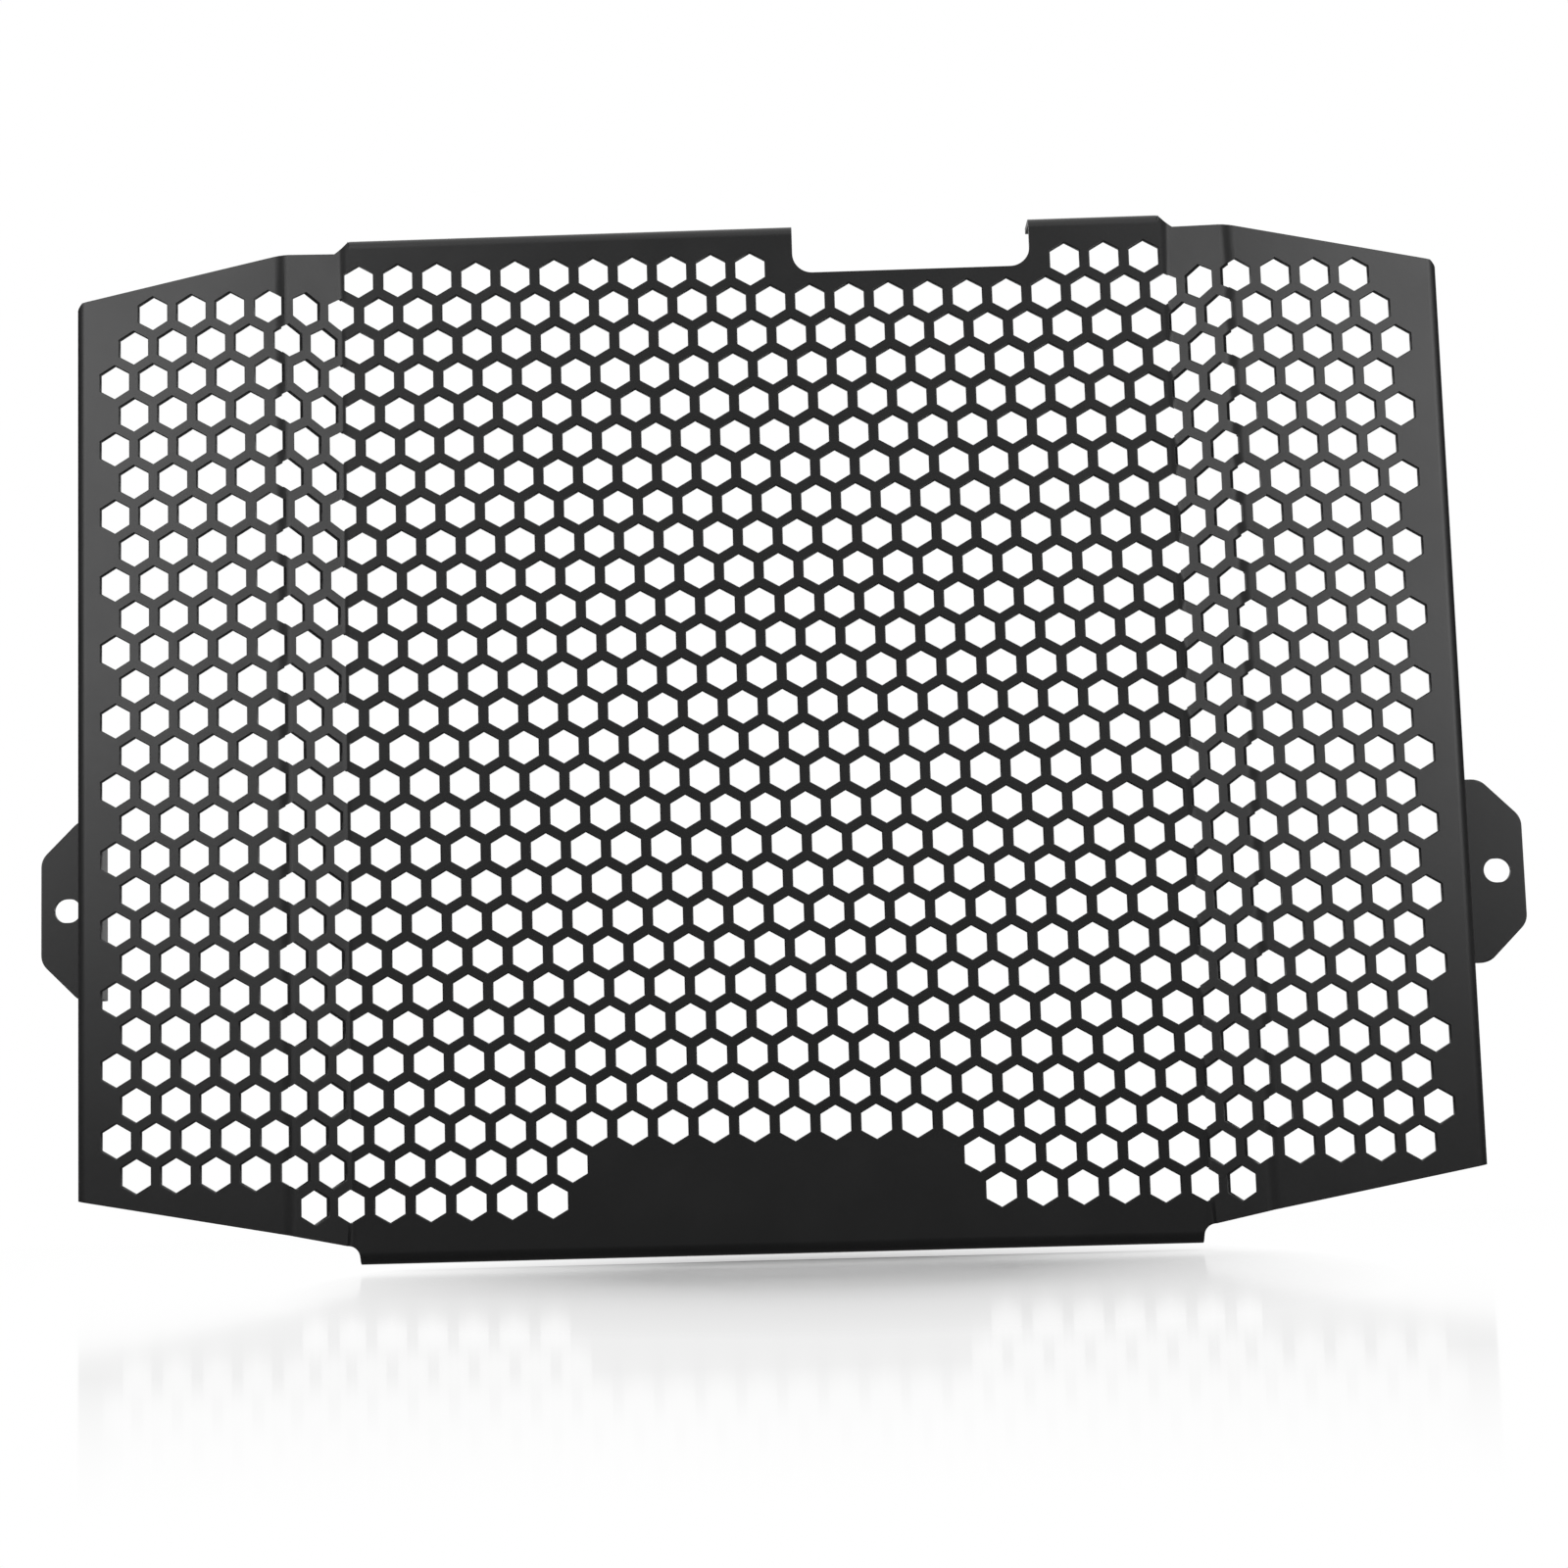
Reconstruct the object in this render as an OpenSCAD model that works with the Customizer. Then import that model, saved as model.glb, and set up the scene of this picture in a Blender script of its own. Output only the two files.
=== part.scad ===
// Radiator guard for a motorcycle, folded from one perforated sheet.
// Millimetres. X runs across the bike, the front faces -Y, Z is up.
// The origin lies midway between the two bolt slots, on the back faces of the tabs.

/* [Sheet] */
// thickness of the sheet
sheet_t = 1.5; // [1:0.1:2]
// inside radius of the bends at the flanges, lips and tabs
bend_r = 1.5; // [1:0.1:2]
// inside radius of the softer folds on both sides of a strip
fold_r = 3.5; // [2:0.1:4]
// width of the centre panel, between its two fold lines
panel_w = 210.4; // [206:0.1:214]
// top edge of the centre panel, above the bolt line
panel_top = 168.1; // [166:0.1:170]
// bottom edge of the centre panel, below the bolt line
panel_bottom = 91.4; // [90:0.1:94]
// width of the steep strip beside the panel
strip_w = 17.2; // [16:0.1:18]
// angle at which a strip comes forward
strip_angle = 37.7; // [32:0.1:42]
// angle at which a wing falls back again
wing_angle = 5.9; // [3:0.1:9]
// width of the guard over its side flanges
guard_w = 344; // [340:0.1:346]
// depth of a side flange, from the front of its bend
flange_d = 12; // [9:0.1:16]
// depth of the lips along the panel's top and bottom edges
lip_d = 10; // [7:0.1:13]
// length of the lips
lip_w = 206.4; // [204:0.1:207]

/* [Outline] */
// drop of the top edge from the panel's fold to the outer corner
top_drop = 12.1; // [10:0.1:14]
// drop of the top edge below the panel's top, at the fold
top_step = 4.1; // [3.5:0.1:5]
// rise of the bottom edge from the panel's fold to the outer corner
bottom_rise = 12.6; // [10:0.1:14]
// rise of the bottom edge above the panel's bottom, at the fold
bottom_step = 4.7; // [4:0.1:6]
// size of the small chamfer at the outer top corners
corner_cut = 1.6; // [1:0.1:2]
// how far past the fold the chamfer at the panel's top corner begins
chamfer_out = 1.4; // [1:0.1:2]
// radius of the round relief beside the bottom lip
relief_r = 3; // [2.5:0.1:3.2]
// width of the notch in the top edge
notch_w = 60.3; // [52:0.1:61]
// depth of the notch
notch_d = 12.8; // [12:0.1:13]
// middle of the notch, to the right of the panel's middle
notch_x = 40.3; // [39:0.1:41]
// radius of the notch's inner corners
notch_r = 5; // [3:0.1:8]

/* [Perforation] */
// distance between neighbouring openings
hex_pitch = 10; // [9.9:0.05:10.1]
// size of a hexagonal opening across its flats
hex_af = 7.4; // [6.8:0.1:7.8]
// distance of the pattern's middle column from the panel's middle, leftwards
grid_x = 0.7; // [0.3:0.1:1]
// height of the pattern's middle row above the bolt line
grid_z = 35.5; // [35:0.1:36]
// narrowest edge left outside an opening
min_edge = 2.4; // [2.3:0.05:2.5]
// width of the plain patch in the middle of the bottom edge
plain_w = 95; // [92:1:99]
// height of the plain patch
plain_h = 30; // [27:0.5:32]

/* [Tabs] */
// distance of the tabs behind the centre panel
tab_back = 25; // [22:0.1:28]
// length of the left tab, from the side flange outwards
tab_left = 16; // [15:0.1:18]
// length of the right tab, from the side flange outwards
tab_right = 20.2; // [18:0.1:22]
// height of a tab where it meets its leg
tab_h = 47; // [44:0.1:50]
// size of the tab's sloping corners
tab_cut = 10.1; // [8:0.1:10.5]
// radius at both ends of a sloping corner
tab_r = 5; // [2:0.1:6]
// distance of the bolt slot from the tab's outer edge
slot_in = 6.8; // [6:0.1:8]
// height of the bolt slot
slot_h = 6.2; // [5.5:0.1:6.8]
// length of the bolt slot
slot_l = 6.9; // [6.5:0.1:8]

/* [Look] */
// colour of the powder coat
coat_color = "#2a2b2d";

/* [Hidden] */
$fn = 64;

// the sheet's middle surface, seen from above, starting on the panel
mid_r = bend_r + sheet_t / 2;
fold_mid_r = fold_r + sheet_t / 2;
out_r = bend_r + sheet_t;
mid_y = -tab_back - sheet_t / 2;
fold_1 = [panel_w / 2, mid_y];
fold_2 = fold_1 + strip_w * [cos(strip_angle), -sin(strip_angle)];
flange_x = (guard_w - sheet_t) / 2;
fold_3 = [flange_x, fold_2[1] + (flange_x - fold_2[0]) * tan(wing_angle)];
wing_w = norm(fold_3 - fold_2);
flange_end = fold_3[1] - sheet_t / 2 + flange_d;
sheet_x = (tab_left - tab_right) / 2;

// the same surface laid flat, with u measured along it from the middle
flat_1 = panel_w / 2;
flat_2 = flat_1 + strip_w;
flat_3 = flat_2 + wing_w;

// headings of the lines that halve the two folds
half_1 = -strip_angle / 2;
half_2 = (wing_angle - strip_angle) / 2;

// largest turn of one facet of a bend
bend_step = 19;

// points of the middle surface, each with its heading, from the panel outwards
function left_of(heading) = [-sin(heading), cos(heading)];
function tangent(radius, turn) = radius * tan(abs(turn) / 2);
function bend(corner, heading, turn, radius) =
    let (
        side = turn > 0 ? 1 : -1,
        start = corner - tangent(radius, turn) * [cos(heading), sin(heading)],
        centre = start + side * radius * left_of(heading),
        steps = ceil(abs(turn) / bend_step)
    )
    [
        for (i = [0 : steps])
            let (now = heading + turn * i / steps)
                [centre - side * radius * left_of(now), now]
    ];
sheet_stations = concat(
    bend(fold_1, 0, -strip_angle, fold_mid_r),
    bend(fold_2, -strip_angle, strip_angle + wing_angle, fold_mid_r),
    bend(fold_3, wing_angle, 90 - wing_angle, mid_r),
    [[[flange_x, flange_end], 90]]
);
function tab_stations(length) = concat(
    [[[flange_x, flange_end - 2 * sheet_t], 90]],
    bend([flange_x, -sheet_t / 2], 90, -90, mid_r),
    [[[guard_w / 2 + length, -sheet_t / 2], 0]]
);

// both faces of the sheet in plan
function face(stations, side) = [for (s = stations) s[0] + side * sheet_t / 2 * left_of(s[1])];
function reversed(path) = [for (i = [len(path) - 1 : -1 : 0]) path[i]];
function flipped(path) = [for (p = path) [-p[0], p[1]]];

// heights of the outline
top_1 = panel_top - top_step;
top_3 = top_1 - top_drop;
bottom_1 = -panel_bottom + bottom_step;
bottom_3 = bottom_1 + bottom_rise;
blank_h = panel_top + panel_bottom;

// the outline's upper and lower edges in the flat sheet
function along(u) = (abs(u) - flat_1) / (flat_3 - flat_1);
function edge_top(u) = abs(u) < flat_1 ? panel_top : top_1 + (top_3 - top_1) * along(u);
function edge_bottom(u) = abs(u) < flat_1 ? -panel_bottom : bottom_1 + (bottom_3 - bottom_1) * along(u);

// the pattern of openings
row_h = hex_pitch * sqrt(3) / 2;
hex_r = hex_af / sqrt(3);
rows = ceil(blank_h / row_h);
cols = ceil(2 * flat_3 / hex_pitch);
function hex_u(col) = col * hex_pitch / 2 - grid_x;
function hex_z(row) = grid_z - row * row_h;
function beside_notch(u, z) =
    abs(u - notch_x) > notch_w / 2 + hex_af / 2 + min_edge / 2
    || z + hex_r + min_edge < panel_top - notch_d;
function beside_patch(u, z) = abs(u) > plain_w / 2 || z > -panel_bottom + plain_h;
function is_open(u, z) =
    z + hex_r + min_edge < edge_top(u)
    && z - hex_r - min_edge > edge_bottom(u)
    && abs(u) + hex_af / 2 + min_edge < flat_3
    && beside_notch(u, z)
    && beside_patch(u, z);
openings = [
    for (row = [-rows : rows])
        for (col = [-cols : cols])
            if ((row + col) % 2 == 0 && is_open(hex_u(col), hex_z(row)))
                [hex_u(col), hex_z(row)]
];

// openings of one section, from one flat position to the next, and those that cross a fold
function crosses(u, fold) = abs(abs(u) - fold) < hex_af / 2;
function folded(u) = crosses(u, flat_1) || crosses(u, flat_2);
function plain_holes(from, to) = [for (p = openings) if (!folded(p[0]) && p[0] > from && p[0] < to) p];
function fold_holes(from, to) = [
    for (p = openings)
        if (folded(p[0]) && p[0] + hex_af / 2 > from && p[0] - hex_af / 2 < to) p
];
wing_fold_holes = [for (p = openings) if (crosses(p[0], flat_2)) p];

// how far the tools of two neighbouring sections reach into each other
overlap = 0.02;

// the whole folded sheet, full height, before it is trimmed
module folded_sheet()
    translate([0, 0, -panel_bottom])
        linear_extrude(blank_h)
            polygon(concat(
                reversed(flipped(face(sheet_stations, 1))),
                face(sheet_stations, 1),
                reversed(face(sheet_stations, -1)),
                flipped(face(sheet_stations, -1))
            ));

// right half of the trimmed front view
module half_outline() {
    difference() {
        polygon([
            [0, -panel_bottom],
            [lip_w / 2, -panel_bottom],
            [lip_w / 2, bottom_1 - relief_r],
            [lip_w / 2 + relief_r, bottom_1 - relief_r],
            [lip_w / 2 + relief_r, bottom_1],
            [fold_2[0], edge_bottom(flat_2)],
            [guard_w / 2, bottom_3],
            [guard_w / 2 + sheet_t, bottom_3],
            [guard_w / 2 + sheet_t, top_3 - corner_cut],
            [guard_w / 2, top_3 - corner_cut],
            [guard_w / 2 - corner_cut, top_3],
            [fold_2[0], edge_top(flat_2)],
            [flat_1 + chamfer_out, edge_top(flat_1 + chamfer_out)],
            [lip_w / 2, panel_top - sheet_t / 2],
            [lip_w / 2, panel_top],
            [0, panel_top]
        ]);
        translate([lip_w / 2 + relief_r, bottom_1 - relief_r])
            circle(relief_r);
    }
}

// trims the folded sheet to its outline, seen from the front
module outline_block()
    rotate([90, 0, 0])
        linear_extrude(4 * tab_back, center = true)
            union() {
                half_outline();
                mirror([1, 0, 0])
                    half_outline();
            }

// rounded lip along the panel's top edge; the bottom one is its mirror image
module lip() {
    translate([-lip_w / 2, mid_y - sheet_t / 2 + out_r, -out_r])
        rotate([90, 0, 90])
            rotate([0, 0, 90])
                linear_extrude(lip_w)
                    intersection() {
                        difference() {
                            circle(out_r);
                            circle(bend_r);
                        }
                        square(out_r);
                    }
    translate([-lip_w / 2, mid_y - sheet_t / 2 + out_r, -sheet_t])
        cube([lip_w, lip_d - out_r, sheet_t]);
}

// room for the lip's bend, taken off the panel's edge
module lip_room()
    translate([-lip_w / 2, mid_y - sheet_t, -out_r])
        cube([lip_w, 2 * sheet_t, 2 * out_r]);

// notch in the top edge, with round inner corners
module notch() {
    deep = panel_top - notch_d;
    translate([notch_x, 0, 0])
        rotate([90, 0, 0])
            linear_extrude(4 * tab_back, center = true)
                union() {
                    translate([-notch_w / 2, deep + notch_r])
                        square([notch_w, notch_d]);
                    translate([-notch_w / 2 + notch_r, deep])
                        square([notch_w - 2 * notch_r, notch_d]);
                    for (side = [-1, 1])
                        translate([side * (notch_w / 2 - notch_r), deep + notch_r])
                            circle(notch_r);
                }
}

// leg and tab on the right, for one tab length
module tab(length)
    difference() {
        intersection() {
            translate([0, 0, -tab_h / 2])
                linear_extrude(tab_h)
                    polygon(concat(
                        face(tab_stations(length), 1),
                        reversed(face(tab_stations(length), -1))
                    ));
            rotate([90, 0, 0])
                linear_extrude(4 * tab_back, center = true)
                    tab_outline(guard_w / 2 + length);
        }
        rotate([90, 0, 0])
            linear_extrude(4 * sheet_t, center = true)
                slot(guard_w / 2 + length - slot_in);
    }

// leg and tab from the front, with sloping corners rounded at both ends
module tab_outline(reach) {
    back = tab_r * tan(22.5);
    diag = back * sin(45);
    half = tab_h / 2;
    inner = guard_w / 2 - 2 * sheet_t;
    union() {
        polygon([
            [inner, -half],
            [reach - tab_cut - back, -half],
            [reach - tab_cut + diag, -half + diag],
            [reach - diag, -half + tab_cut - diag],
            [reach, -half + tab_cut + back],
            [reach, half - tab_cut - back],
            [reach - diag, half - tab_cut + diag],
            [reach - tab_cut + diag, half - diag],
            [reach - tab_cut - back, half],
            [inner, half]
        ]);
        for (side = [-1, 1]) {
            translate([reach - tab_cut - back, side * (half - tab_r)])
                circle(tab_r);
            translate([reach - tab_r, side * (half - tab_cut - back)])
                circle(tab_r);
        }
    }
}

// bolt slot, running along X
module slot(x)
    union() {
        translate([x - (slot_l - slot_h) / 2, -slot_h / 2])
            square([slot_l - slot_h, slot_h]);
        for (side = [-1, 1])
            translate([x + side * (slot_l - slot_h) / 2, 0])
                circle(slot_h / 2);
    }

// hexagonal tools at flat positions, each a point up, on a section that starts at a point in plan
module hex_tools(holes, start, heading, flat_start)
    translate([start[0], start[1], 0])
        rotate([0, 0, heading])
            rotate([90, 0, 0])
                linear_extrude(2 * sheet_t, center = true)
                    for (p = holes)
                        translate([p[0] - flat_start, p[1]])
                            rotate(30)
                                circle(hex_r, $fn = 6);

// space in plan between two folds, each given by its point and the heading across it
module between(p, p_heading, q, q_heading) {
    wide = 5 * sheet_t;
    from = p - overlap * [cos(p_heading), sin(p_heading)];
    to = q + overlap * [cos(q_heading), sin(q_heading)];
    translate([0, 0, -panel_bottom])
        linear_extrude(blank_h)
            polygon([
                from - wide * left_of(p_heading),
                to - wide * left_of(q_heading),
                to + wide * left_of(q_heading),
                from + wide * left_of(p_heading)
            ]);
}

// openings on the panel, and its part of those that cross its folds
module panel_openings()
    hex_tools(plain_holes(-flat_1, flat_1), [0, mid_y], 0, 0);
module panel_fold_openings()
    intersection() {
        hex_tools(fold_holes(-flat_1, flat_1), [0, mid_y], 0, 0);
        between([-fold_1[0], mid_y], -half_1, fold_1, half_1);
    }

// openings on the strip and the wing of one side, drawn on the right
function on_side(side, holes) = [for (p = holes) if (side * p[0] > 0) [abs(p[0]), p[1]]];
module strip_openings(side)
    hex_tools(
        on_side(side, concat(plain_holes(-flat_2, -flat_1), plain_holes(flat_1, flat_2))),
        fold_1, -strip_angle, flat_1
    );
module wing_openings(side)
    hex_tools(
        on_side(side, concat(plain_holes(-flat_3, -flat_2), plain_holes(flat_2, flat_3))),
        fold_2, wing_angle, flat_2
    );
module strip_fold_openings(side)
    intersection() {
        hex_tools(on_side(side, fold_holes(-flat_2, flat_2)), fold_1, -strip_angle, flat_1);
        between(fold_1, half_1, fold_2, half_2);
    }
module wing_fold_openings(side)
    intersection() {
        hex_tools(on_side(side, wing_fold_holes), fold_2, wing_angle, flat_2);
        between(fold_2, half_2, fold_3, half_2);
    }

module radiator_guard()
    color(coat_color)
        translate([sheet_x, 0, 0])
            difference() {
                union() {
                    difference() {
                        intersection() {
                            folded_sheet();
                            outline_block();
                        }
                        translate([0, 0, panel_top])
                            lip_room();
                        translate([0, 0, -panel_bottom])
                            lip_room();
                    }
                    translate([0, 0, panel_top])
                        lip();
                    translate([0, 0, -panel_bottom])
                        mirror([0, 0, 1])
                            lip();
                    tab(tab_right);
                    mirror([1, 0, 0])
                        tab(tab_left);
                }
                notch();
                panel_openings();
                panel_fold_openings();
                strip_openings(1);
                strip_fold_openings(1);
                wing_openings(1);
                wing_fold_openings(1);
                mirror([1, 0, 0])
                    strip_openings(-1);
                mirror([1, 0, 0])
                    strip_fold_openings(-1);
                mirror([1, 0, 0])
                    wing_openings(-1);
                mirror([1, 0, 0])
                    wing_fold_openings(-1);
            }

radiator_guard();
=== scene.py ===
import math

import bmesh
import bpy
from bpy.props import FloatProperty, FloatVectorProperty, PointerProperty
from bpy.types import Operator, Panel, PropertyGroup
from mathutils import Matrix, Vector


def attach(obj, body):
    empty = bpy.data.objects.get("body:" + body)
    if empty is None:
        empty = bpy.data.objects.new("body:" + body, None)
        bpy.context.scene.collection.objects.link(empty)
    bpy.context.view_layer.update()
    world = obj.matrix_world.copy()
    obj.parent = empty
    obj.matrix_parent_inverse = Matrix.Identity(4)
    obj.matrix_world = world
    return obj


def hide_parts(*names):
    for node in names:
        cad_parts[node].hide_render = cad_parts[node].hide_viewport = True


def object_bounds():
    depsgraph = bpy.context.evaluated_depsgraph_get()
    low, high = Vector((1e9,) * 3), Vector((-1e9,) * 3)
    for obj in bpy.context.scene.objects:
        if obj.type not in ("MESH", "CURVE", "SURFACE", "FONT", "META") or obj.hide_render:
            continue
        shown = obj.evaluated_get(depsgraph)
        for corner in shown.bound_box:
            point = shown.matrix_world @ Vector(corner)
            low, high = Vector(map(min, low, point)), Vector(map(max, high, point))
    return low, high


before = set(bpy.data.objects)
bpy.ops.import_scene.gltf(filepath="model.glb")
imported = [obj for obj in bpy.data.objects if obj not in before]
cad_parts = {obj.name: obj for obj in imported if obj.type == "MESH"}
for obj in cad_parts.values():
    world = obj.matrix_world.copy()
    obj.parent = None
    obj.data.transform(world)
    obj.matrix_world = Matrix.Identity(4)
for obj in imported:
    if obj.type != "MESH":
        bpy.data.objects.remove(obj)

cad_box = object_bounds()

bl_info = {
    "name": "Radiator guard",
    "version": (1, 0, 0),
    "blender": (4, 5, 0),
    "location": "3D View > Sidebar > Guard",
    "description": "Powder-coated perforated radiator guard on a pale studio floor",
    "category": "Object",
}

NODE = "radiator_guard"
MM = 0.001
WHITE = (1.0, 1.0, 1.0, 1.0)

# the sheet's mesh: merging, and the turns that tell its rims and its shading apart
MERGE_GAP = 0.002 * MM
SLIVER = 0.001 * MM
FACING = 0.9999                  # faces this square to Y lie on the panel
BEND_TURN = math.radians(30)     # faces of one surface turn by less than this at each edge
RIM_TURN = math.radians(75)      # sharper edges are rims
SHADE_TURN = math.radians(50)    # sharper edges are shaded as edges
LOOP_EDGE = 3.0                  # loops whose edges are all longer than this many roundings
FLAT_AREA = 450 * MM * MM        # more surface than this in one direction is flat sheet

# the layer that the Weighted Normal modifier reads, and its values for a face that leads or follows
FACE_STRENGTH = "__mod_weightednormals_faceweight"
STRONG, WEAK = 16384, -16384

# clouds and rubbed places in the coat
CLOUD_SIZE = 45 * MM
RUB_SIZE = 12 * MM

# the floor, just under the guard; distances are from the middle of the floor
FLOOR_Z = cad_box[0][2] - 1.7 * MM
OPEN_REACH = 0.25
GLOSS_FADE = (0.42, 0.56)
WHITE_FADE = (0.42, 0.66)
# the painted dark floor that the coat's reflections see, brightening to white between these
# distances
MIRRORED_FADE = (1.3, 2.0)
# the pool under the guard where the floor shows its shadow; outside it the floor is painted white
# over the shadows
POOL_CENTRE = (0.008, -0.10, 0.0)
POOL_SCALE = (10.0, 4.5, 0.0)
POOL_FADE = (0.4, 1.15)

# cards that darken reflections: radius and height, then the turns from the front, in degrees
COVE_SIZE = (1.3, 0.26)
RING_SIZE = (4.0, 6.0)
COVE_TURNS = (0.0, 82.0)
SIDE_TURNS = (30.0, 84.0)
BACK_TURNS = (84.0, 163.0)
TALL_CARD = (-1.1, 1.60, 1.05)   # Y, width and height

# soft boxes: side, name, distance from the middle and share of the power
SIDE_BOXES = ((-1, "left_box", 0.318, 0.91), (1, "right_box", 0.338, 0.98))
BACK_BOXES = ((-1, "left_back_box", 1.05, 1.1), (1, "right_back_box", 1.05, 0.9))

# the photograph's camera, in the part's own frame
IMAGE_PX = 1600
FOCAL_PX = 3045.7
CENTRE_PX = (723.2, 809.5)
SENSOR_MM = 36.0
TURN_VECTOR = (-7.11, 1.24, -1.60)
EYE_MM = (-2.1, -764.15, -69.7)


class Socket:
    """A node socket that adds Math nodes when Python operators are used on it."""

    def __init__(self, shader, socket):
        self.shader = shader
        self.socket = socket

    def maths(self, operation, first, second, clamp=False):
        settings = {"operation": operation, "use_clamp": clamp}
        return self.shader.node("ShaderNodeMath", settings, {0: first, 1: second})

    def __add__(self, other):
        return self.maths("ADD", self, other)

    def __radd__(self, other):
        return self.maths("ADD", other, self)

    def __sub__(self, other):
        return self.maths("SUBTRACT", self, other)

    def __rsub__(self, other):
        return self.maths("SUBTRACT", other, self)

    def __mul__(self, other):
        return self.maths("MULTIPLY", self, other)

    def __rmul__(self, other):
        return self.maths("MULTIPLY", other, self)

    def clamped(self):
        return self.maths("ADD", self, 0.0, clamp=True)

    def larger(self, other):
        return self.maths("MAXIMUM", self, other)


class Shader:
    """The nodes of one material or world."""

    def __init__(self, owner):
        owner.use_nodes = True
        self.tree = owner.node_tree
        self.tree.nodes.clear()

    def feed(self, target, value):
        if isinstance(value, Socket):
            self.tree.links.new(value.socket, target)
        else:
            target.default_value = value

    def node(self, kind, settings=None, values=None, output=0):
        node = self.tree.nodes.new(kind)
        for name, value in (settings or {}).items():
            setattr(node, name, value)
        for name, value in (values or {}).items():
            self.feed(node.inputs[name], value)
        return Socket(self, node.outputs[output])

    def noise(self, place, size_m, detail=2.0, roughness=0.5):
        values = {"Vector": place, "Scale": 1.0 / size_m, "Detail": detail, "Roughness": roughness}
        return self.node("ShaderNodeTexNoise", {"noise_dimensions": "3D"}, values, "Fac")

    def blend(self, factor, first, second):
        """Mixes two colours."""
        node = self.tree.nodes.new("ShaderNodeMix")
        node.data_type = "RGBA"
        for name, kind, value in (
                ("Factor", "VALUE", factor), ("A", "RGBA", first), ("B", "RGBA", second)):
            self.feed(next(s for s in node.inputs if s.name == name and s.type == kind), value)
        return Socket(self, next(s for s in node.outputs if s.type == "RGBA"))

    def range(self, value, low, high, first, second):
        """Takes low to first and high to second, and stops there."""
        values = {"Value": value, "From Min": low, "From Max": high,
                  "To Min": first, "To Max": second}
        return self.node("ShaderNodeMapRange", {"clamp": True}, values)

    def vector(self, operation, first, second):
        values = {0: first, 1: second}
        return self.node("ShaderNodeVectorMath", {"operation": operation}, values, "Vector")

    def length(self, place):
        return self.node("ShaderNodeVectorMath", {"operation": "LENGTH"}, {0: place}, "Value")

    def glow(self, strength):
        return self.node("ShaderNodeEmission", None, {"Color": WHITE, "Strength": strength})

    def mix(self, factor, first, second):
        """Mixes two surfaces."""
        return self.node("ShaderNodeMixShader", None, {0: factor, 1: first, 2: second})

    def ray(self, kind):
        """1 for rays of this kind."""
        return self.node("ShaderNodeLightPath", output=kind)

    def finish(self, surface, kind="ShaderNodeOutputMaterial"):
        output = self.tree.nodes.new(kind)
        self.feed(output.inputs["Surface"], surface)


class CoatSettings(PropertyGroup):
    colour: FloatVectorProperty(
        name="Coat colour", description="Colour of the powder coat", subtype="COLOR", size=4,
        default=(0.0085, 0.0086, 0.0089, 1.0), min=0.0, max=1.0)
    colour_high: FloatVectorProperty(
        name="Worn colour", description="Colour where the coat is slightly dusty or rubbed",
        subtype="COLOR", size=4, default=(0.0130, 0.0130, 0.0134, 1.0), min=0.0, max=1.0)
    roughness: FloatProperty(
        name="Roughness", description="Roughness of the satin coat",
        default=0.36, min=0.0, max=1.0, subtype="FACTOR")
    peel_size: FloatProperty(
        name="Peel size", description="Size of the coat's soft waves",
        default=1.3 * MM, unit="LENGTH")
    peel_depth: FloatProperty(
        name="Peel depth", description="Height of the soft waves",
        default=0.010 * MM, unit="LENGTH")
    grain_size: FloatProperty(
        name="Grain size", description="Size of the coat's fine grain",
        default=0.30 * MM, unit="LENGTH")
    grain_depth: FloatProperty(
        name="Grain depth", description="Height of the fine grain",
        default=0.006 * MM, unit="LENGTH")
    rim: FloatProperty(
        name="Rim rounding", description="Rounding of the cut edges under the coat",
        default=0.28 * MM, unit="LENGTH")


class StageSettings(PropertyGroup):
    floor_colour: FloatProperty(
        name="Floor grey", description="Grey of the floor in the open",
        default=0.77, min=0.0, max=1.0)
    # painted shade: the floor's grey where the guard stands close above it
    floor_shade: FloatProperty(
        name="Floor shade", description="Grey of the floor where the guard covers it",
        default=0.66, min=0.0, max=1.0)
    floor_size: FloatProperty(
        name="Floor size", description="Width of the floor", default=12.0, unit="LENGTH")
    floor_gloss: FloatProperty(
        name="Floor gloss", description="Share of mirror image on the floor near the guard",
        default=0.14, min=0.0, max=1.0, subtype="FACTOR")
    card_grey: FloatProperty(
        name="Card grey", description="Brightness of the dark cards in front and at the sides",
        default=0.34, min=0.0)
    back_card_grey: FloatProperty(
        name="Back card grey", description="Brightness of the dark cards behind",
        default=0.05, min=0.0)
    back_power: FloatProperty(
        name="Back light", description="Power of each soft box behind, which cast the shadow",
        default=16.0, unit="POWER")
    world_grey: FloatProperty(
        name="World light", description="Strength of the soft light from all sides",
        default=0.10, min=0.0)
    side_power: FloatProperty(
        name="Side light", description="Power of each soft box at the sides",
        default=0.97, unit="POWER")


def material(name, finish, *values):
    found = bpy.data.materials.get(name) or bpy.data.materials.new(name)
    finish(Shader(found), *values)
    return found


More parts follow.
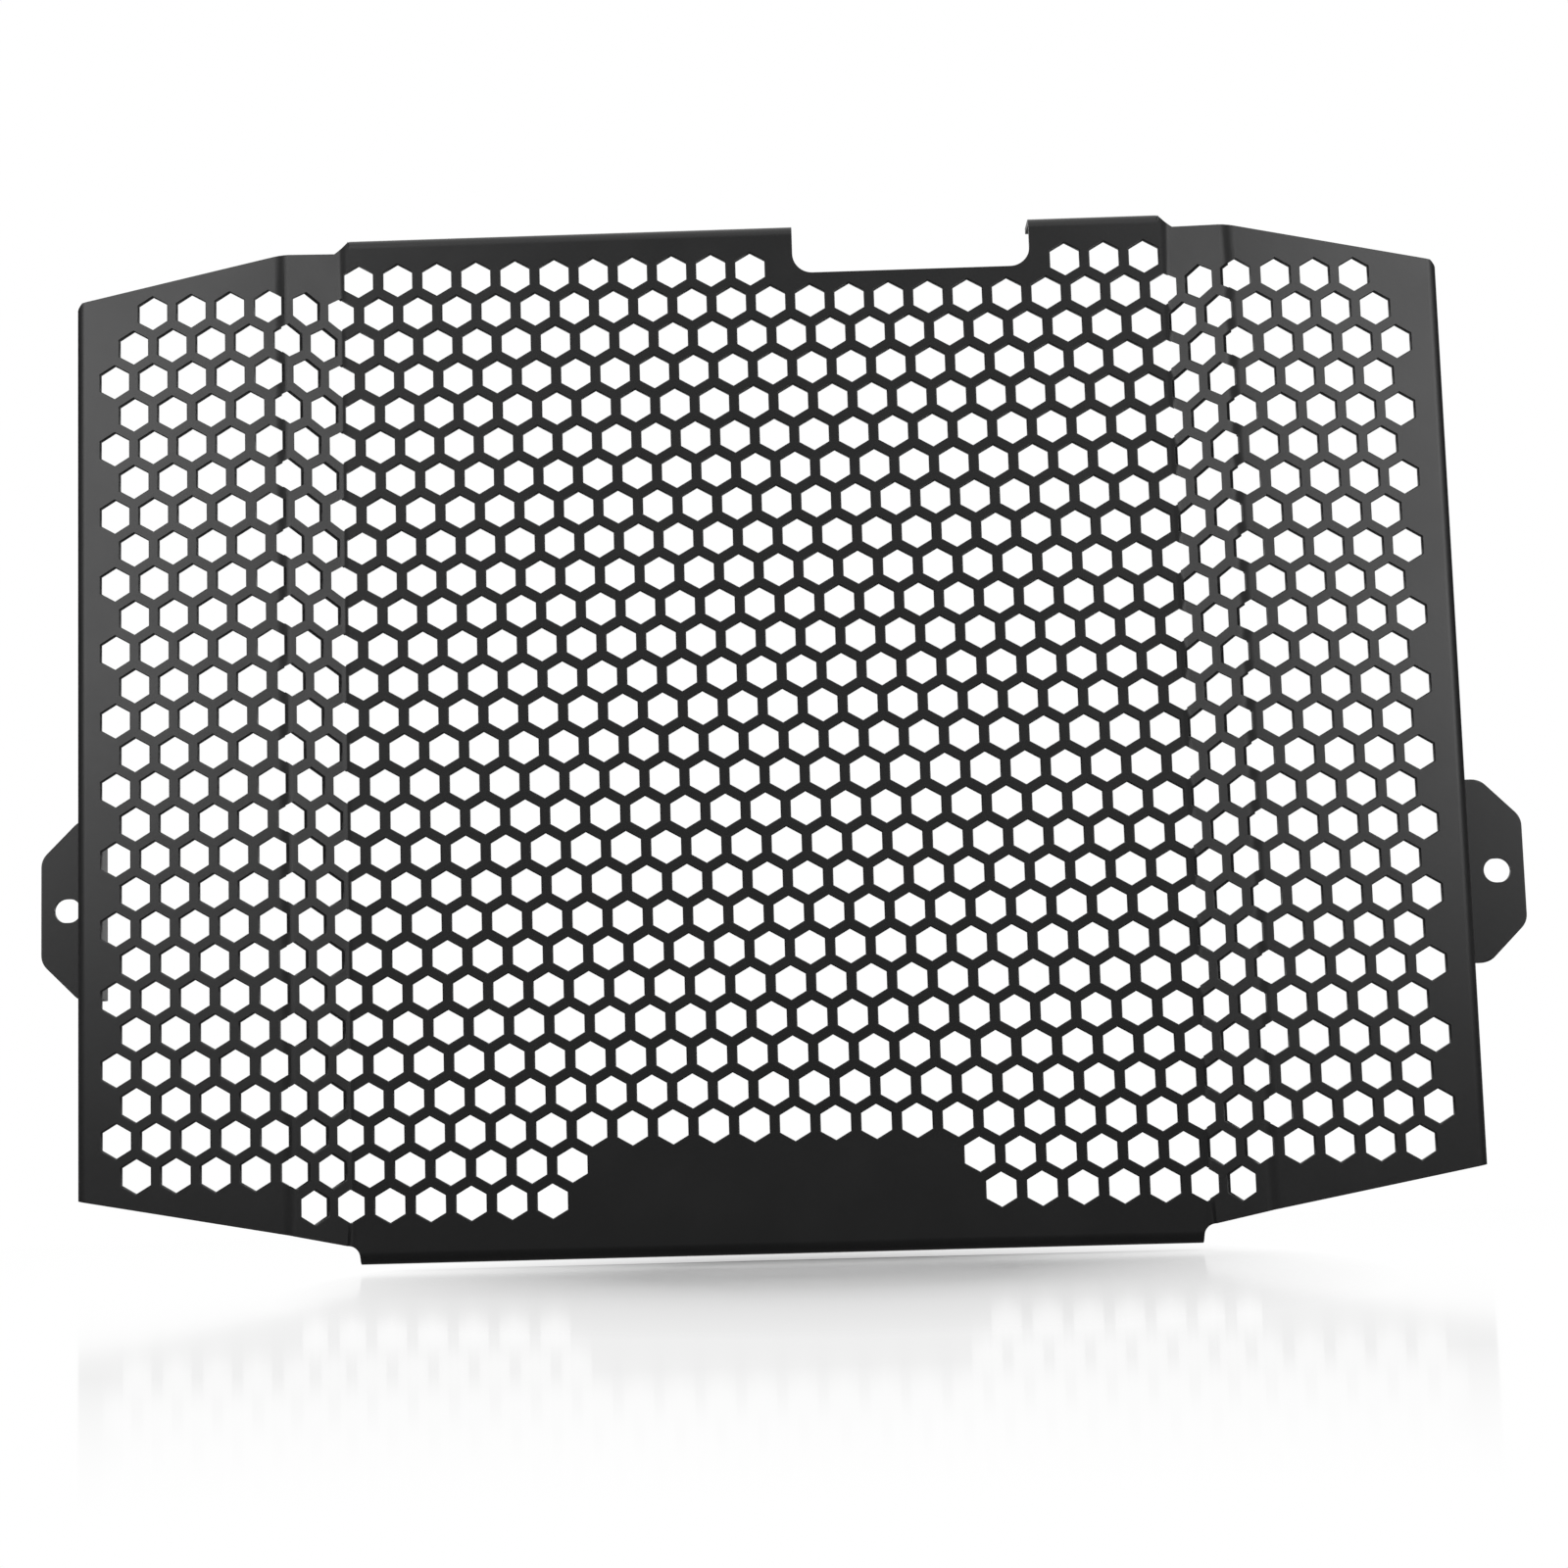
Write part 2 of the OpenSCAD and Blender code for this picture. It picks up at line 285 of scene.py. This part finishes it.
def powder_coat(shader):
    """Satin black powder coat: soft waves, fine grain, faint clouds, and smoother rims."""
    s = bpy.context.scene.guard_coat
    place = shader.node("ShaderNodeTexCoord", output="Object")
    peel = shader.noise(place, s.peel_size, 1.0)
    grain = shader.noise(place, s.grain_size, 2.0, 0.6)
    cloud = shader.noise(place, CLOUD_SIZE, 3.0, 0.55)
    rub = shader.noise(place, RUB_SIZE, 4.0, 0.6)
    rim = shader.node("ShaderNodeAttribute", {"attribute_name": "rim"}, output="Fac")
    dust = shader.range(cloud * 0.6 + rub * 0.4, 0.42, 0.66, 0.0, 1.0)
    # the coat is lighter in the dusty clouds and rubbed places, and at the rounded rims
    tone = (dust * 0.45 + rim * 0.35 + (grain - 0.5) * 0.5).clamped()
    colour = shader.blend(tone, tuple(s.colour), tuple(s.colour_high))
    roughness = (s.roughness + dust * 0.06 + (grain - 0.5) * 0.10 - rim * 0.05).clamped()
    height = peel * (s.peel_depth / MM) + grain * (s.grain_depth / MM)
    normal = shader.node(
        "ShaderNodeBump", None, {"Strength": 1.0, "Distance": MM, "Height": height})
    shader.finish(shader.node("ShaderNodeBsdfPrincipled", None, {
        "Base Color": colour, "Roughness": roughness, "Normal": normal, "IOR": 1.5}))


def surface_of(shape):
    """The front and back surfaces of the sheet: all that joins the panel over soft edges."""
    found = {face for face in shape.faces if abs(face.normal.y) > FACING}
    fresh = list(found)
    while fresh:
        for edge in fresh.pop().edges:
            for other in edge.link_faces:
                if other not in found and edge.calc_face_angle(0.0) < BEND_TURN:
                    found.add(other)
                    fresh.append(other)
    return found


def set_strength(shape):
    """Lets flat sheet and cut walls lead the shading, and the bends follow it."""

    def direction(face):
        return tuple(round(part, 2) for part in face.normal)

    area = {}
    for face in shape.faces:
        area[direction(face)] = area.get(direction(face), 0.0) + face.calc_area()
    strength = shape.faces.layers.int.new(FACE_STRENGTH)
    surface = surface_of(shape)
    for face in shape.faces:
        flat = area[direction(face)] > FLAT_AREA
        face[strength] = STRONG if flat or face not in surface else WEAK


def rims_of(shape):
    return [edge for edge in shape.edges if edge.calc_face_angle(0.0) > RIM_TURN]


def loops_of(edges):
    """The edges, gathered into the loops that they form."""
    left = set(edges)
    while left:
        loop = [left.pop()]
        for edge in loop:
            joined = {other for corner in edge.verts for other in corner.link_edges} & left
            left -= joined
            loop.extend(joined)
        yield loop


def round_rims(shape, edges, rim, clamp):
    """Rounds the edges; with the clamp, by as much as the shortest of them leaves room for."""
    made = bmesh.ops.bevel(
        shape, geom=edges, offset=rim, offset_type="OFFSET", segments=1, profile=0.5,
        affect="EDGES", clamp_overlap=clamp, material=-1)
    for face in made["faces"]:
        face[shape.faces.layers.float["rim"]] = 1.0
        face[shape.faces.layers.int[FACE_STRENGTH]] = WEAK


def coated_mesh(source, rim):
    """The guard's own mesh, merged, its rims rounded and its bends shaded as one curve."""
    shape = bmesh.new()
    shape.from_mesh(source.data)
    bmesh.ops.remove_doubles(shape, verts=shape.verts, dist=MERGE_GAP)
    bmesh.ops.dissolve_degenerate(shape, dist=SLIVER, edges=shape.edges)
    shape.normal_update()
    shape.faces.layers.float.new("rim")
    set_strength(shape)

    # openings clear of the folds take the full rounding, and what is left takes what fits
    rims = rims_of(shape)
    clear = set()
    for loop in loops_of(rims):
        if min(edge.calc_length() for edge in loop) > LOOP_EDGE * rim:
            clear.update(loop)
    round_rims(shape, [edge for edge in rims if edge in clear], rim, clamp=False)
    round_rims(shape, rims_of(shape), rim, clamp=True)

    for face in shape.faces:
        face.smooth = True
    for edge in shape.edges:
        edge.smooth = edge.calc_face_angle(0.0) < SHADE_TURN
    mesh = bpy.data.meshes.new("coated_sheet")
    shape.to_mesh(mesh)
    shape.free()
    return mesh


class GUARD_OT_sheet(Operator):
    """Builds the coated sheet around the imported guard"""

    bl_idname = "guard.sheet"
    bl_label = "Coated sheet"

    def execute(self, context):
        s = context.scene.guard_coat
        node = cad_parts[NODE]
        coat = material("powder_coat", powder_coat)
        for slot in node.material_slots:
            slot.material = coat
        sheet = bpy.data.objects.new("coated_sheet", coated_mesh(node, s.rim))
        context.scene.collection.objects.link(sheet)
        sheet.data.materials.append(coat)
        weights = sheet.modifiers.new("face_weights", "WEIGHTED_NORMAL")
        weights.mode = "FACE_AREA"
        weights.weight = 100
        weights.keep_sharp = True
        weights.use_face_influence = True
        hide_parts(NODE)
        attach(sheet, "root")
        return {"FINISHED"}


def floor_paint(shader):
    """Pale satin floor with the lamps' shadow of the guard and painted shade under it, that fades
    to plain white farther out.
    """
    s = bpy.context.scene.guard_stage
    place = shader.node("ShaderNodeTexCoord", output="Object")
    apart = shader.length(place)
    # painted shade: the floor's grey darkens from floor_colour to floor_shade where ambient
    # occlusion finds the guard close
    open_sky = shader.node(
        "ShaderNodeAmbientOcclusion", {"samples": 8}, {"Distance": OPEN_REACH}, "AO")
    grey = shader.range(open_sky, 0.5, 1.0, s.floor_shade, s.floor_colour)
    matt = shader.node("ShaderNodeBsdfDiffuse", None, {"Color": grey})
    satin = shader.node("ShaderNodeBsdfGlossy", None, {"Color": WHITE, "Roughness": 0.08})
    white = shader.glow(1.0)

    # the camera sees the lamps' shadow and the painted shade only in a pool under the guard, with
    # painted white over the shadows outside it, a faint mirror image near the guard, then white
    pool = shader.vector("MULTIPLY", shader.vector("SUBTRACT", place, POOL_CENTRE), POOL_SCALE)
    beyond = shader.range(shader.length(pool), *POOL_FADE, 0.0, 1.0)
    gloss = shader.range(apart, *GLOSS_FADE, s.floor_gloss, 0.0)
    near = shader.mix(gloss, shader.mix(beyond, matt, white), satin)
    shown = shader.mix(shader.range(apart, *WHITE_FADE, 0.0, 1.0), near, white)

    # painted reflection: for glossy rays the floor is a dim glow near the guard that brightens to
    # white far out, so the guard's coat reflects a dark floor; the lamps light a matt one
    mirrored = shader.glow(shader.range(apart, *MIRRORED_FADE, 0.12, 1.0))
    other = shader.mix(shader.ray("Is Glossy Ray"), matt, mirrored)
    shader.finish(shader.mix(shader.ray("Is Camera Ray"), other, shown))


def sky(shader):
    """Soft light from all sides, and plain white wherever the backdrop is seen."""
    s = bpy.context.scene.guard_stage
    seen = shader.ray("Is Camera Ray").larger(shader.ray("Is Glossy Ray"))
    seen = seen.larger(shader.ray("Is Transmission Ray"))
    strength = shader.range(seen, 0.0, 1.0, s.world_grey, 1.0)
    surface = shader.node(
        "ShaderNodeBackground", None, {"Color": WHITE, "Strength": strength})
    shader.finish(surface, "ShaderNodeOutputWorld")


def card_paint(shader, grey):
    shader.finish(shader.glow(grey))


def stage_piece(name, shape, paint):
    """An object of the stage, from a finished bmesh."""
    mesh = bpy.data.meshes.new(name)
    shape.to_mesh(mesh)
    shape.free()
    mesh.materials.append(paint)
    piece = bpy.data.objects.new(name, mesh)
    bpy.context.scene.collection.objects.link(piece)
    return piece


def dark_card(name, shape, grey):
    """A dark card that only reflections see."""
    piece = stage_piece(name, shape, material(name + "_paint", card_paint, grey))
    piece.visible_camera = False
    piece.visible_shadow = False
    piece.visible_diffuse = False


def floor_shape(size):
    shape = bmesh.new()
    bmesh.ops.create_grid(shape, x_segments=1, y_segments=1, size=size / 2)
    bmesh.ops.translate(shape, vec=(0.0, 0.0, FLOOR_Z), verts=shape.verts)
    return shape


def curved_card(radius, height, first, last):
    """Upright ring round the guard, kept between two turns from the front, on both sides."""
    shape = bmesh.new()
    bmesh.ops.create_cone(
        shape, cap_ends=False, segments=96, radius1=radius, radius2=radius, depth=height)
    bmesh.ops.translate(shape, vec=(0.0, 0.0, FLOOR_Z + height / 2), verts=shape.verts)
    spare = []
    for face in shape.faces:
        middle = face.calc_center_median()
        turn = math.degrees(math.atan2(abs(middle.x), -middle.y))
        if not first <= turn <= last:
            spare.append(face)
    bmesh.ops.delete(shape, geom=spare, context="FACES")
    return shape


def tall_card(y, width, height):
    """Upright card behind the camera, standing on the floor."""
    shape = bmesh.new()
    bmesh.ops.create_grid(shape, x_segments=1, y_segments=1, size=0.5)
    bmesh.ops.scale(shape, vec=(width, height, 1.0), verts=shape.verts)
    bmesh.ops.rotate(
        shape, cent=(0.0, 0.0, 0.0), matrix=Matrix.Rotation(math.radians(90), 3, "X"),
        verts=shape.verts)
    bmesh.ops.translate(shape, vec=(0.0, y, FLOOR_Z + height / 2), verts=shape.verts)
    return shape


def soft_box(name, place, target, size, power):
    lamp = bpy.data.lights.new(name, "AREA")
    lamp.shape = "RECTANGLE"
    lamp.size, lamp.size_y = size
    lamp.energy = power
    box = bpy.data.objects.new(name, lamp)
    box.location = place
    box.rotation_euler = (Vector(target) - Vector(place)).to_track_quat("-Z", "Y").to_euler()
    bpy.context.scene.collection.objects.link(box)
    return box


def place_lamps(s):
    """Soft boxes before the wings, which light the coat, and behind, which cast the shadow."""
    for side, name, apart, share in SIDE_BOXES:
        soft_box(name, (side * apart, -0.28, 0.228), (side * 0.08, 0.0, 0.045),
                 (0.235, 0.44), s.side_power * share)
    for side, name, apart, share in BACK_BOXES:
        box = soft_box(name, (side * apart, 0.80, 1.15), (0.0, -0.1, FLOOR_Z),
                       (0.6, 0.4), s.back_power * share)
        box.visible_glossy = False


def place_camera(scene):
    """Stands the camera where the photograph was taken."""
    turn = Vector([math.radians(a) for a in TURN_VECTOR])
    seen = Matrix.Rotation(turn.length, 3, turn.normalized())
    unturned = Matrix(((1, 0, 0), (0, 0, -1), (0, 1, 0)))    # its right, down and forward
    right, down, forward = seen @ unturned
    basis = Matrix((right, -down, -forward)).transposed()
    lens = bpy.data.cameras.new("camera")
    lens.sensor_width = SENSOR_MM
    lens.lens = FOCAL_PX / IMAGE_PX * SENSOR_MM
    lens.shift_x = (IMAGE_PX / 2 - CENTRE_PX[0]) / IMAGE_PX
    lens.shift_y = (CENTRE_PX[1] - IMAGE_PX / 2) / IMAGE_PX
    lens.clip_start = 0.01
    lens.clip_end = 100.0
    camera = bpy.data.objects.new("camera", lens)
    camera.matrix_world = Matrix.Translation(Vector(EYE_MM) * MM) @ basis.to_4x4()
    scene.collection.objects.link(camera)
    scene.camera = camera


class GUARD_OT_stage(Operator):
    """Sets up the floor, the cards, the soft light and the camera"""

    bl_idname = "guard.stage"
    bl_label = "Studio"

    def execute(self, context):
        s = context.scene.guard_stage
        stage_piece("floor", floor_shape(s.floor_size), material("floor_paint", floor_paint))
        dark_card("low_cove", curved_card(*COVE_SIZE, *COVE_TURNS), s.card_grey)
        dark_card("tall_card", tall_card(*TALL_CARD), s.card_grey)
        dark_card("side_cards", curved_card(*RING_SIZE, *SIDE_TURNS), s.card_grey)
        dark_card("back_cards", curved_card(*RING_SIZE, *BACK_TURNS), s.back_card_grey)
        place_lamps(s)
        context.scene.world = bpy.data.worlds.new("studio")
        sky(Shader(context.scene.world))
        context.scene.view_settings.view_transform = "Standard"
        place_camera(context.scene)
        return {"FINISHED"}


class GUARD_PT_panel(Panel):
    """Shows the coat's and the stage's settings, with the buttons that build them"""

    bl_idname = "GUARD_PT_panel"
    bl_label = "Radiator guard"
    bl_space_type = "VIEW_3D"
    bl_region_type = "UI"
    bl_category = "Guard"

    def draw(self, context):
        for group, operator in (("guard_coat", "guard.sheet"), ("guard_stage", "guard.stage")):
            box = self.layout.box()
            settings = getattr(context.scene, group)
            for name in settings.__annotations__:
                box.prop(settings, name)
            box.operator(operator)


CLASSES = (CoatSettings, StageSettings, GUARD_OT_sheet, GUARD_OT_stage, GUARD_PT_panel)


def register():
    for each in CLASSES:
        bpy.utils.register_class(each)
    bpy.types.Scene.guard_coat = PointerProperty(type=CoatSettings)
    bpy.types.Scene.guard_stage = PointerProperty(type=StageSettings)


def unregister():
    del bpy.types.Scene.guard_stage
    del bpy.types.Scene.guard_coat
    for each in reversed(CLASSES):
        bpy.utils.unregister_class(each)


def main():
    register()
    bpy.ops.guard.stage()
    bpy.ops.guard.sheet()


if __name__ == "__main__":
    main()
